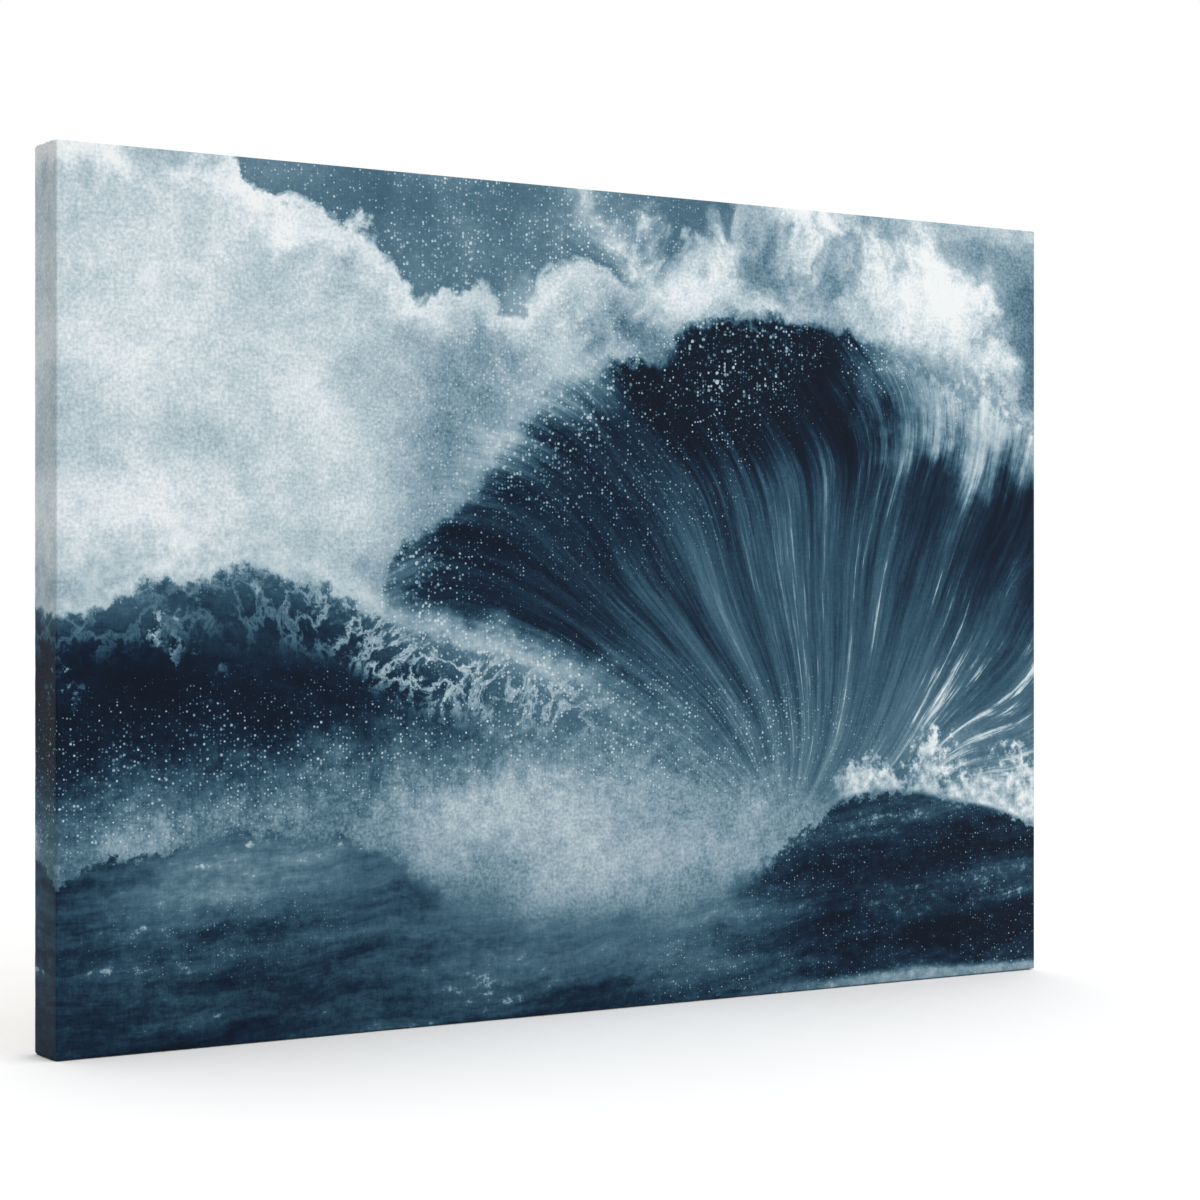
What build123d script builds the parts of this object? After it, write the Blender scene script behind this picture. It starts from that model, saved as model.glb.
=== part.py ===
"""A stretched canvas: a printed cloth pulled over four keyed stretcher bars and stapled behind.

Millimetres. +X is to the viewer's right, +Z is up, and the printed face looks along -Y. The origin is
the middle of the lower side: z is 0 where the canvas stands, and y is 0 halfway through its depth.

The four bars meet in mitred corners. Each corner hides two tongues, one from each bar, that lie in
two layers of the bar's thickness. A wedge-shaped key is pushed in beside each tongue, and driving the
keys home spreads the corner and tightens the cloth.
"""

import os
from math import cos, radians, sin

from build123d import *

# ---------------------------------------------------------------- driving dimensions
WIDTH, HEIGHT, DEPTH = 700.0, 500.0, 32.0  # the finished canvas, over the cloth

CLOTH = 0.5  # thickness of the primed and printed cloth
FLAP = 22.0  # width of cloth turned onto the back
CLOTH_EDGE_RADIUS = 1.6  # outside radius of the cloth round the front edges

BAR_WIDTH = 38.0  # across the face of a bar
LIP_WIDTH = 8.0  # the raised outer bead that carries the cloth
BEVEL_DROP = 3.5  # how far the face falls back from the cloth by the inner edge
INNER_CHAMFER = 2.0  # inner edge on the back
BAR_EDGE_RADIUS = 1.3  # outer front edge of a bar, a little rounder than the cloth inside it

BACK_CHEEK = 6.0  # wood behind the joint
TONGUE = 5.0  # thickness of each tongue, and of each key slot
TONGUE_SHORT = 1.0  # a tongue stops this far from the outer edge

KEY_LENGTH = 40.0
KEY_TIP, KEY_TAIL = 5.5, 16.0  # width of a key at its thin and thick ends
KEY_INSERTED = 24.0  # how much of a key is inside the bar
KEY_SLOT_DEPTH = 30.0  # the slot is deeper than the key goes
KEY_SIDE_GAP = 0.2  # on each flat of a key
KEY_EDGE_GAP = 0.15  # on each edge of a key
KEY_TAIL_CHAMFER = 1.2

STAPLE_CROWN, STAPLE_LEG, STAPLE_WIDE, STAPLE_THICK = 10.0, 6.0, 1.2, 0.6
STAPLE_PITCH = 50.0
STAPLE_INSET = 11.0  # from the outer edge to the staple line
CORNER_STAPLE_INSET = 15.0  # a slanted staple holds each folded corner

STRAP_WIDTH, STRAP_LENGTH, STRAP_SHEET = 10.0, 34.0, 1.0  # folded double
STRAP_FROM_OUTER_EDGE = 30.0  # to the middle of the strap
EYE_GAP = 0.1  # between the ring's wire and its eye
RING_WIRE = 1.2  # radius of the ring's wire
RING_BOW = 8.6  # radius of the bow, to the middle of the wire
RING_SIDE = 6.0  # from the pin down to where the bow begins
RING_CORNER = 2.0
RING_LEAN = 4.5  # degrees; the hanging ring leans on its strap
HINGE_HEIGHT = 390.0  # of the two ring hinges above the foot

SCREW_BELOW_HINGE = 25.0
SCREW_SHANK, SCREW_LENGTH, PILOT = 1.75, 13.0, 1.2  # radius, length, radius of its pilot hole
SCREW_HEAD, SCREW_HEAD_HIGH = 3.5, 2.2
STRAP_HOLE = 1.95
CROSS_LONG, CROSS_WIDE, CROSS_DEEP = 4.0, 0.9, 1.2

# ---------------------------------------------------------------- worked out from them
BAR_DEPTH = DEPTH - 2 * CLOTH
OUT_X = WIDTH / 2 - CLOTH  # outer faces of the bars
OUT_BOTTOM, OUT_TOP = CLOTH, HEIGHT - CLOTH
MID_Z = HEIGHT / 2
IN_X = OUT_X - BAR_WIDTH  # inner faces of the bars
IN_TOP = OUT_TOP - BAR_WIDTH
WOOD_BACK, WOOD_FRONT = BAR_DEPTH / 2, -BAR_DEPTH / 2
CLOTH_BACK = DEPTH / 2
# The layer of a tongue, as its nearer and further y. The across bars' tongues lie behind the uprights'.
ACROSS_LAYER = (WOOD_BACK - BACK_CHEEK - TONGUE, WOOD_BACK - BACK_CHEEK)
UPRIGHT_LAYER = (ACROSS_LAYER[0] - TONGUE, ACROSS_LAYER[0])
KEY_SLOPE = (KEY_TAIL - KEY_TIP) / KEY_LENGTH
SLOT_MOUTH = KEY_TIP + KEY_INSERTED * KEY_SLOPE + 2 * KEY_EDGE_GAP
SLOT_END = SLOT_MOUTH - KEY_SLOT_DEPTH * KEY_SLOPE
HINGE_Y = WOOD_BACK + RING_WIRE + EYE_GAP + STRAP_SHEET
STRAP_X = WIDTH / 2 - STRAP_FROM_OUTER_EDGE
STRAP_FACE = WOOD_BACK + 2 * STRAP_SHEET
SCREW_Z = HINGE_HEIGHT - SCREW_BELOW_HINGE
BIG = 2 * WIDTH


def slab(points, y_from, y_to):
    """A flat shape given by (x, z) points, as thick as from one y to the other."""
    outline = Plane.XZ * make_face(Polyline(*points, close=True))
    # The XZ plane looks along -Y, so the shape is pushed back to start at y_from.
    return Pos(0, y_to, 0) * extrude(outline, amount=y_to - y_from)


def block(x, y, z):
    """A box from its lowest and highest x, y and z."""
    middle = [(low + high) / 2 for low, high in (x, y, z)]
    return Pos(*middle) * Box(x[1] - x[0], y[1] - y[0], z[1] - z[0])


def bar_profile():
    """The bar's cross-section: (distance in from the outer edge, y)."""
    outline = Polyline(
        (0, WOOD_FRONT),
        (LIP_WIDTH, WOOD_FRONT),
        (BAR_WIDTH, WOOD_FRONT + BEVEL_DROP),
        (BAR_WIDTH, WOOD_BACK - INNER_CHAMFER),
        (BAR_WIDTH - INNER_CHAMFER, WOOD_BACK),
        (0, WOOD_BACK),
        close=True,
    )
    face = make_face(outline)
    front_corner = face.vertices().sort_by(lambda v: v.X + v.Y)[0]
    return fillet(front_corner, BAR_EDGE_RADIUS)


# ---------------------------------------------------------------- bars and their corner joints
def corner_square(y_from, y_to, inner_x, inner_z):
    """Everything beyond the two inner faces at the top right corner, in one layer."""
    return block((inner_x, BIG), (y_from, y_to), (inner_z, BIG))


def mitre(keep_upper):
    """The half of the top right corner that is cut away from an upright, or from an across bar."""
    reach = 2 * BAR_WIDTH
    inner, outer = (IN_X - BAR_WIDTH, IN_TOP - BAR_WIDTH), (OUT_X + reach, OUT_TOP + reach)
    third = (inner[0], outer[1]) if keep_upper else (outer[0], inner[1])
    return [inner, outer, third]


def right_upright_end(bar):
    """Cuts the top end of the right upright: mitred, with a tongue in its layer and a key slot."""
    low, high = UPRIGHT_LAYER
    for layer in ((WOOD_FRONT, low), (high, WOOD_BACK)):
        bar -= slab(mitre(True), *layer)
    bar -= block((-BIG, BIG), UPRIGHT_LAYER, (OUT_TOP - TONGUE_SHORT, BIG))
    bar -= corner_square(*ACROSS_LAYER, IN_X, IN_TOP)
    slot_end = IN_X + KEY_SLOT_DEPTH
    slot = [
        (IN_X - 1, IN_TOP),
        (IN_X - 1, IN_TOP - SLOT_MOUTH - KEY_SLOPE),
        (slot_end, IN_TOP - SLOT_END),
        (slot_end, IN_TOP),
    ]
    return bar - slab(slot, *ACROSS_LAYER)


def top_bar_end(bar):
    """Cuts the right end of the top bar in the same way, with the two layers changed over."""
    low, high = ACROSS_LAYER
    for layer in ((WOOD_FRONT, low), (high, WOOD_BACK)):
        bar -= slab(mitre(False), *layer)
    bar -= block((OUT_X - TONGUE_SHORT, BIG), ACROSS_LAYER, (-BIG, BIG))
    bar -= corner_square(*UPRIGHT_LAYER, IN_X, IN_TOP)
    slot_end = IN_TOP + KEY_SLOT_DEPTH
    slot = [
        (IN_X, IN_TOP - 1),
        (IN_X - SLOT_MOUTH - KEY_SLOPE, IN_TOP - 1),
        (IN_X - SLOT_END, slot_end),
        (IN_X, slot_end),
    ]
    return bar - slab(slot, *UPRIGHT_LAYER)


def across(shape):
    """The same shape at the other side, left for right."""
    return mirror(shape, about=Plane.YZ)


def below(shape):
    """The same shape at the other end, bottom for top."""
    return mirror(shape, about=Plane.XY.offset(MID_Z))


def right_upright():
    # The profile's first axis runs inwards from the outer face, so it points along -X here.
    plane = Plane(origin=(OUT_X, 0, OUT_BOTTOM), x_dir=(-1, 0, 0), z_dir=(0, 0, -1))
    bar = extrude(plane * bar_profile(), amount=-(OUT_TOP - OUT_BOTTOM))
    bar = right_upright_end(bar)
    bar = below(right_upright_end(below(bar)))
    pilot = Cylinder(PILOT, SCREW_LENGTH, rotation=(90, 0, 0))
    return bar - Pos(STRAP_X, WOOD_BACK - SCREW_LENGTH / 2, SCREW_Z) * pilot


def top_bar():
    plane = Plane(origin=(-OUT_X, 0, OUT_TOP), x_dir=(0, 0, -1), z_dir=(1, 0, 0))
    bar = extrude(plane * bar_profile(), amount=2 * OUT_X)
    bar = top_bar_end(bar)
    return across(top_bar_end(across(bar)))


# ---------------------------------------------------------------- keys
def key_outline():
    """A key lying along +X with its tip at x = 0 and its straight edge on y = 0, tail to the left."""
    c = KEY_TAIL_CHAMFER
    return [
        (0, 0),
        (0, -KEY_TIP),
        (-KEY_LENGTH + c, -KEY_TAIL + c * KEY_SLOPE),
        (-KEY_LENGTH, -KEY_TAIL + c),
        (-KEY_LENGTH, 0),
    ]


def across_key():
    """The top right key that is pushed sideways into the right upright, under the top bar."""
    tip_x, edge_z = IN_X + KEY_INSERTED, IN_TOP - KEY_EDGE_GAP
    points = [(tip_x + along, edge_z + over) for along, over in key_outline()]
    return slab(points, ACROSS_LAYER[0] + KEY_SIDE_GAP, ACROSS_LAYER[1] - KEY_SIDE_GAP)


def upright_key():
    """The top right key that is pushed upwards into the top bar, beside the right upright."""
    tip_z, edge_x = IN_TOP + KEY_INSERTED, IN_X - KEY_EDGE_GAP
    points = [(edge_x + over, tip_z + along) for along, over in key_outline()]
    return slab(points, UPRIGHT_LAYER[0] + KEY_SIDE_GAP, UPRIGHT_LAYER[1] - KEY_SIDE_GAP)


# ---------------------------------------------------------------- cloth
def cloth():
    """The cloth as one thin tray: the face, the four sides and the flaps turned onto the back."""
    half_x, half_y = WIDTH / 2, DEPTH / 2
    outside = block((-half_x, half_x), (-half_y, half_y), (0, HEIGHT))
    inside = block((-OUT_X, OUT_X), (WOOD_FRONT, WOOD_BACK), (OUT_BOTTOM, OUT_TOP))
    front_edges = outside.faces().sort_by(Axis.Y)[0].edges()
    outside = fillet(front_edges, CLOTH_EDGE_RADIUS)
    front_edges = inside.faces().sort_by(Axis.Y)[0].edges()
    inside = fillet(front_edges, CLOTH_EDGE_RADIUS - CLOTH)
    bare = block((FLAP - half_x, half_x - FLAP), (0, DEPTH), (FLAP, HEIGHT - FLAP))
    return outside - inside - bare


# ---------------------------------------------------------------- staples
def staple():
    """One staple on the cloth's back face at the origin, its crown along X and its legs along -Y."""
    half, top = STAPLE_CROWN / 2, CLOTH_BACK + STAPLE_THICK
    wide = (-STAPLE_WIDE / 2, STAPLE_WIDE / 2)
    crown = block((-half, half), (CLOTH_BACK, top), wide)
    legs = [
        block(sorted((s * half, s * (half - STAPLE_THICK))), (CLOTH_BACK - STAPLE_LEG, top), wide)
        for s in (-1, 1)
    ]
    body = crown + legs[0] + legs[1]
    bends = body.edges().filter_by(Axis.Z).filter_by_position(Axis.Y, top - 0.01, top + 0.01)
    return fillet(bends, STAPLE_THICK * 0.8)


def staple_places(length):
    """Positions along a bar of that length, centred, one pitch apart and clear of the corners."""
    count = int((length / 2 - BAR_WIDTH) // STAPLE_PITCH)
    return [i * STAPLE_PITCH for i in range(-count, count + 1)]


def top_staples():
    """The top bar's row, and the slanted staple in each of its two folded corners."""
    one, z = staple(), HEIGHT - STAPLE_INSET
    row = [Pos(x, 0, z) * one for x in staple_places(WIDTH)]
    corner_x, corner_z = WIDTH / 2 - CORNER_STAPLE_INSET, HEIGHT - CORNER_STAPLE_INSET
    row += [Pos(s * corner_x, 0, corner_z) * Rot(0, s * 45, 0) * one for s in (-1, 1)]
    return Compound(children=row)


def right_staples():
    one, x = Rot(0, 90, 0) * staple(), WIDTH / 2 - STAPLE_INSET
    return Compound(children=[Pos(x, 0, MID_Z + z) * one for z in staple_places(HEIGHT)])


# ---------------------------------------------------------------- hangers
def strap():
    """The folded steel strap that holds the right ring, with its eye at the top."""
    half, foot = STRAP_WIDTH / 2, HINGE_HEIGHT - STRAP_LENGTH
    plate = block((STRAP_X - half, STRAP_X + half), (WOOD_BACK, STRAP_FACE), (foot, HINGE_HEIGHT))
    plate = fillet(plate.edges().filter_by(Axis.Y).group_by(Axis.Z)[0], half * 0.96)
    eye_place = Pos(STRAP_X, HINGE_Y, HINGE_HEIGHT)
    eye_out, eye_in = RING_WIRE + EYE_GAP + STRAP_SHEET, RING_WIRE + EYE_GAP
    plate += eye_place * Cylinder(eye_out, STRAP_WIDTH, rotation=(0, 90, 0))
    plate -= eye_place * Cylinder(eye_in, 2 * STRAP_WIDTH, rotation=(0, 90, 0))
    hole = Cylinder(STRAP_HOLE, 3 * STRAP_SHEET, rotation=(90, 0, 0))
    return plate - Pos(STRAP_X, WOOD_BACK + STRAP_SHEET, SCREW_Z) * hole


def ring():
    """The D-shaped ring: a straight pin in the eye and a bow below it, leaning on the strap."""
    c, low = RING_CORNER, -RING_SIDE
    turn = c * (1 - cos(radians(45)))
    path = Polyline((-RING_BOW + c, 0), (RING_BOW - c, 0))
    path += ThreePointArc((RING_BOW - c, 0), (RING_BOW - turn, -turn), (RING_BOW, -c))
    path += Line((RING_BOW, -c), (RING_BOW, low))
    path += ThreePointArc((RING_BOW, low), (0, low - RING_BOW), (-RING_BOW, low))
    path += Line((-RING_BOW, low), (-RING_BOW, -c))
    path += ThreePointArc((-RING_BOW, -c), (-RING_BOW + turn, -turn), (-RING_BOW + c, 0))
    wire = sweep(Plane.YZ * Circle(RING_WIRE), path=path)
    standing = Rot(90 + RING_LEAN, 0, 0) * wire
    return Pos(STRAP_X, HINGE_Y, HINGE_HEIGHT) * standing


def screw():
    """The pan-head screw through the right strap, with a cross recess."""
    shank = Cylinder(SCREW_SHANK, SCREW_LENGTH, align=(Align.CENTER, Align.CENTER, Align.MAX))
    point = fillet(shank.edges().sort_by(Axis.Z)[0], SCREW_SHANK * 0.8)
    head = Cylinder(SCREW_HEAD, SCREW_HEAD_HIGH, align=(Align.CENTER, Align.CENTER, Align.MIN))
    head = fillet(head.edges().sort_by(Axis.Z)[-1], SCREW_HEAD_HIGH * 0.7)
    body = point + head
    for long, wide in ((CROSS_LONG, CROSS_WIDE), (CROSS_WIDE, CROSS_LONG)):
        body -= Pos(0, 0, SCREW_HEAD_HIGH) * Box(long, wide, 2 * CROSS_DEEP)
    return Pos(STRAP_X, STRAP_FACE, SCREW_Z) * Rot(-90, 0, 0) * body


# ---------------------------------------------------------------- write every piece
def all_pieces():
    """Every node by name. What repeats is made once, at the top right, and mirrored."""
    upright, top = right_upright(), top_bar()
    across_wedge, upright_wedge = across_key(), upright_key()
    top_row, right_row = top_staples(), right_staples()
    hanger = {"strap": strap(), "ring": ring(), "screw": screw()}
    pieces = {
        "printed_canvas": cloth(),
        "stretcher_bar_right": upright,
        "stretcher_bar_left": across(upright),
        "stretcher_bar_top": top,
        "stretcher_bar_bottom": below(top),
        "staples_top": top_row,
        "staples_bottom": below(top_row),
        "staples_right": right_row,
        "staples_left": across(right_row),
    }
    for side, flip in (("right", lambda s: s), ("left", across)):
        for name, shape in hanger.items():
            pieces[f"hanger_{name}_{side}"] = flip(shape)
        for way, wedge in (("across", across_wedge), ("upright", upright_wedge)):
            pieces[f"key_top_{side}_{way}"] = flip(wedge)
            pieces[f"key_bottom_{side}_{way}"] = below(flip(wedge))
    return pieces


os.makedirs("parts", exist_ok=True)
for node, shape in all_pieces().items():
    export_step(shape, f"parts/{node}.step")
    print(node, round(sum(solid.volume for solid in shape.solids())), "mm3")
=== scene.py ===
# %% [markdown]
# # A stretched canvas with a printed sea
# The object is a picture printed on cotton canvas. The cloth is pulled over four pine bars, wrapped round
# their sides and stapled behind. Eight small wedges, the keys, can be driven into the corners to spread the
# bars and tighten the cloth, and two D-shaped rings hang it on a wall.
#
# The rigid pieces come from a finished CAD model, which is loaded first and never moved. This file adds what
# CAD is bad at: the cloth, and the look of every surface. All lengths are in metres.

# %% Load the frame
import math

import bmesh
import bpy
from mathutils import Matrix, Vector, noise


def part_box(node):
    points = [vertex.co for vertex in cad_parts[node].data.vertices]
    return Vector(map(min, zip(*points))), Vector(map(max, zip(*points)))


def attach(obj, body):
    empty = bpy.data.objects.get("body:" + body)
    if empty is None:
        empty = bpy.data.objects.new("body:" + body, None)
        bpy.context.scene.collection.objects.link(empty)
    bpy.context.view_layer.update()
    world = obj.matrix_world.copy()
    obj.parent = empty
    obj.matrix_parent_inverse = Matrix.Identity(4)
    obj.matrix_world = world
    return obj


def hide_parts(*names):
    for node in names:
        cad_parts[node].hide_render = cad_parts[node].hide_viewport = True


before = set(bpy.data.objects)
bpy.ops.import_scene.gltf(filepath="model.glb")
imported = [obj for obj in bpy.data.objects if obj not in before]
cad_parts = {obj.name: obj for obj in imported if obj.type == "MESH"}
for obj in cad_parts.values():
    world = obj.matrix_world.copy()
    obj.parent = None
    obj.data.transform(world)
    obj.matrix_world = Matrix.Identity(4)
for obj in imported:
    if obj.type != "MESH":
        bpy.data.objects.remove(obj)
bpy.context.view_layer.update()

print("pieces of the frame:", ", ".join(sorted(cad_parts)))

# %% [markdown]
# ## Sizes of the canvas
# Every place below is worked out from the cloth's box, so nothing has to be lined up by eye. The face looks
# along -Y, and the canvas stands on the floor at z = 0.

# %% Sizes of the canvas
low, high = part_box("printed_canvas")
HALF_X, HALF_Z = (high.x - low.x) / 2, (high.z - low.z) / 2
MIDDLE_Z = (high.z + low.z) / 2
FRONT, BACK = low.y, high.y
DEPTH = BACK - FRONT
print(f"canvas {2 * HALF_X:.3f} wide, {2 * HALF_Z:.3f} high, {DEPTH:.3f} deep")

# %% [markdown]
# ## Camera
# The picture is seen from its left, level with its middle, from far enough away that the far edge is only a
# little shorter than the near one. A long lens gives that calm perspective.

# %% Camera
CAMERA_TURN = math.radians(-32.6)
CAMERA_AWAY = 1.690
LENS, SENSOR = 83.07, 36.0  # in millimetres

aim = Vector((0.0, FRONT, MIDDLE_Z))
towards_camera = Vector((math.sin(CAMERA_TURN), -math.cos(CAMERA_TURN), 0.0))
camera = bpy.data.objects.new("camera", bpy.data.cameras.new("camera"))
camera.data.lens, camera.data.sensor_width = LENS, SENSOR
camera.location = aim + towards_camera * CAMERA_AWAY
camera.rotation_euler = towards_camera.to_track_quat("Z", "Y").to_euler()
bpy.context.scene.collection.objects.link(camera)
bpy.context.scene.camera = camera
print("camera at", [round(x, 3) for x in camera.location])

# %% [markdown]
# ## Writing shaders as sums
# A material here is a long formula. Placing hundreds of nodes by hand would hide it, so one small class
# wraps an output socket and lets Python's own + - * / add the Math nodes. Every other node comes from one
# method, which sets the node's settings first and then its sockets.

# %% A socket that can be added and multiplied
class Wire:
    """One output of a node. Arithmetic with numbers and other wires adds Math nodes to the same tree."""

    def __init__(self, tree, socket=None):
        self.tree, self.socket = tree, socket

    def node(self, kind, settings=None, inputs=None, output=0):
        made = self.tree.nodes.new(kind)
        for name, value in (settings or {}).items():
            if name == "stops":
                set_stops(made.color_ramp, value)
            elif name == "points":
                set_points(made.mapping, value)
            else:
                setattr(made, name, value)
        for name, value in (inputs or {}).items():
            if isinstance(value, Wire):
                self.tree.links.new(value.socket, made.inputs[name])
            else:
                made.inputs[name].default_value = value
        return Wire(self.tree, made.outputs[output])

    def other(self, output):
        """Another output of the same node."""
        return Wire(self.tree, self.socket.node.outputs[output])

    def math(self, operation, *others):
        return self.node("ShaderNodeMath", {"operation": operation}, dict(enumerate((self, *others))))

    def after(self, operation, first):
        return self.node("ShaderNodeMath", {"operation": operation}, {0: first, 1: self})

    def __add__(self, other):
        return self.math("ADD", other)

    def __sub__(self, other):
        return self.math("SUBTRACT", other)

    def __rsub__(self, first):
        return self.after("SUBTRACT", first)

    def __mul__(self, other):
        return self.math("MULTIPLY", other)

    def __truediv__(self, other):
        return self.math("DIVIDE", other)

    def __pow__(self, other):
        return self.math("POWER", other)

    def __abs__(self):
        return self.math("ABSOLUTE")

    __radd__ = __add__
    __rmul__ = __mul__


def set_stops(ramp, stops):
    while len(ramp.elements) < len(stops):
        ramp.elements.new(0.5)
    for element, (place, colour) in zip(ramp.elements, stops):
        element.position, element.color = place, colour


def set_points(mapping, points):
    curve = mapping.curves[0]
    while len(curve.points) < len(points):
        curve.points.new(0.5, 0.5)
    for point, place in zip(curve.points, points):
        point.location = place
    mapping.update()


print("a wire understands + - * / ** and abs()")

# %% Small words for the formulas
def smooth(value, start, end):
    """0 at start, 1 at end, eased between and flat beyond."""
    ease = {"interpolation_type": "SMOOTHSTEP"}
    return value.node("ShaderNodeMapRange", ease, {"Value": value, "From Min": start, "From Max": end})


def blend(under, over, mask):
    """over where the mask is 1, and under where it is 0."""
    return under + (over - under) * mask


def most(first, second):
    return first.math("MAXIMUM", second)


def point(x, y, z=0.0):
    return x.node("ShaderNodeCombineXYZ", None, {"X": x, "Y": y, "Z": z})


def grain(place, scale, detail=3.0, roughness=0.5, dimensions="2D"):
    """Fractal noise, centred on 0."""
    settings = {"noise_dimensions": dimensions}
    inputs = {"Vector": place, "Scale": scale, "Detail": detail, "Roughness": roughness}
    return place.node("ShaderNodeTexNoise", settings, inputs) - 0.5


def mix_colours(under, over, mask):
    """Colours go through Mix, because Math turns them grey."""
    return mask.node("ShaderNodeMix", {"data_type": "RGBA"}, {0: mask, 6: under, 7: over}, 2)


def ramp(value, stops):
    return value.node("ShaderNodeValToRGB", {"stops": stops}, {"Fac": value})


def colour(code, strength=1.0):
    """A display colour such as 'd9c8a8' as the linear colour that a shader works in."""
    parts = [int(code[i:i + 2], 16) / 255 for i in (0, 2, 4)]
    linear = [p / 12.92 if p <= 0.04045 else ((p + 0.055) / 1.055) ** 2.4 for p in parts]
    return (*(p * strength for p in linear), 1.0)


def new_finish(name, **constants):
    """A material, a wire to begin formulas from, and its shader. What is even goes straight on the shader."""
    finish = bpy.data.materials.new(name)
    finish.use_nodes = True
    shader = finish.node_tree.nodes["Principled BSDF"]
    for socket, value in constants.items():
        shader.inputs[socket.replace("_", " ")].default_value = value
    return finish, Wire(finish.node_tree), shader


def feed(shader, socket, wire):
    wire.tree.links.new(wire.socket, shader.inputs[socket])


def raise_surface(shader, height, distance):
    """Feeds a height from 0 to 1 to the shader's normal. distance is how tall 1 is."""
    bump = height.node("ShaderNodeBump", None, {"Height": height, "Distance": distance})
    feed(shader, "Normal", bump)


print("mid grey as a linear colour:", [round(part, 3) for part in colour("808080")])

# %% [markdown]
# ## The cloth's shape
# A canvas print is one flat rectangle of cloth. It runs over the face, turns round a soft edge onto each
# side, turns again and ends in a flap that is stapled to the back. It could be simulated, but a cloth pulled
# this tight has no slack to fall, so its shape is known: the outline of the bars. The mesh is therefore
# built as rings that walk along the cloth's section, from the face's edge to the cut edge behind.
#
# Each corner of the mesh also knows where it lies on the flat cloth. That map carries the print and the weave
# round every edge without a seam.

# %% Where the staples are
def separate_solids(node):
    """The middle of each separate solid in a node."""
    shape = bmesh.new()
    shape.from_mesh(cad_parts[node].data)
    bmesh.ops.remove_doubles(shape, verts=shape.verts, dist=1e-6)
    waiting, middles = set(shape.verts), []
    while waiting:
        part, edge = [], [waiting.pop()]
        while edge:
            part.append(edge.pop())
            near = {e.other_vert(part[-1]) for e in part[-1].link_edges} & waiting
            waiting -= near
            edge.extend(near)
        middles.append(sum((v.co for v in part), Vector()) / len(part))
    shape.free()
    return middles


SIDES = ("bottom", "right", "top", "left")
staples = [spot for side in SIDES for spot in separate_solids(f"staples_{side}")]
print(len(staples), "staples press the cloth down")

# %% [markdown]
# ### The section
# Cut the canvas across, and its cloth is a hook: a small round over the front edge, a flat side, a small
# round over the back edge and a flap. A bevelled curve could sweep it, but would pinch at the corners. A
# list of stations along the hook keeps every ring within reach.

# %% The cloth's section
FLAP = 0.022  # turned onto the back
FACE_RADIUS = 0.0010  # of the cloth round the front edge
BACK_RADIUS = 0.0010
CORNER_RADIUS = 0.0008  # of the upright corner edges
THICKNESS = 0.00045
CELL = 0.004  # size of the mesh's squares on the face

# Each station is (distance from the face's edge along the cloth, offset outwards, y, angle of the surface).
# The angle is -90 degrees on the face, 0 on a side and 90 on the back.
section = []
for step in range(4):
    turn = math.pi / 2 * step / 4
    out, y = FACE_RADIUS * (math.sin(turn) - 1), FRONT + FACE_RADIUS * (1 - math.cos(turn))
    section.append((FACE_RADIUS * (step / 2 - 1), out, y, turn - math.pi / 2))
for step in range(9):
    y = FRONT + FACE_RADIUS + (DEPTH - FACE_RADIUS - BACK_RADIUS) * step / 8
    section.append((y - FRONT, 0.0, y, 0.0))
for step in range(1, 4):
    turn = math.pi / 2 * step / 4
    out, y = BACK_RADIUS * (math.cos(turn) - 1), BACK + BACK_RADIUS * (math.sin(turn) - 1)
    section.append((DEPTH + BACK_RADIUS * (step / 2 - 1), out, y, turn))
for step in range(9):
    out = BACK_RADIUS + (FLAP - BACK_RADIUS) * step / 8
    section.append((DEPTH + out, -out, BACK, math.pi / 2))
print(len(section), "rings from the face to the cut edge")


# %% [markdown]
# ### Puffs and pull marks
# Staples hold the flap down at points, so it puffs up between them, and faint marks run from them over the
# sides. Sculpting would do this once, by hand. Noise and the distance to the nearest staple do it for every
# point, and would do it again if the staples moved.

# %% How the cloth stands off the wood
PRESSED = 0.008  # a staple holds the cloth down this far round it
PUFF = 0.0008  # the most that a flap stands off
PULL = 0.00018  # height of a pull mark on a side
CUT_WANDER, CUT_FRAY = 0.0009, 0.0003


def ease(value, start, end):
    """The same as smooth(), for plain numbers."""
    share = min(max((value - start) / (end - start), 0.0), 1.0)
    return share * share * (3 - 2 * share)


def ripple(x, z, size, layer=0.0):
    return noise.noise(Vector((x / size, z / size, layer)))


def free_of_staples(x, z):
    """0 under a staple, 1 far from every staple."""
    nearest = min((spot.x - x) ** 2 + (spot.z - z) ** 2 for spot in staples)
    return 1 - math.exp(-nearest / PRESSED ** 2)


RING_ROOM = 0.020  # the flap lies flatter this near a hanging ring
rings = [sum(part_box(f"hanger_ring_{side}"), Vector()) / 2 for side in ("left", "right")]


def flap_lift(x, z, share):
    """The flap puffs up between staples, most at its cut edge, where nothing but the weave holds it."""
    near_ring = min((ring.x - x) ** 2 + (ring.z - z) ** 2 for ring in rings)
    room = 0.25 + 0.75 * ease(math.sqrt(near_ring), RING_ROOM, 2 * RING_ROOM)
    puff = 0.6 + 0.8 * ripple(x, z, 0.016)
    return PUFF * free_of_staples(x, z) * share ** 1.5 * puff * room


def side_lift(x, z, share):
    """Faint pull marks run over the sides from the staples towards the face."""
    pull = 0.5 * ripple(x, z, 0.025, 3.0) + ripple(x, z, 0.009, 5.0) * share
    return PULL * pull * share


def cut_wander(along):
    """The cut edge isn't quite straight, and its threads have pulled a little."""
    slow = noise.noise(Vector((along / 0.06, 1.0, 0.0)))
    quick = noise.noise(Vector((along / 0.006, 2.0, 0.0)))
    return CUT_WANDER * slow + CUT_FRAY * quick


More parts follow.
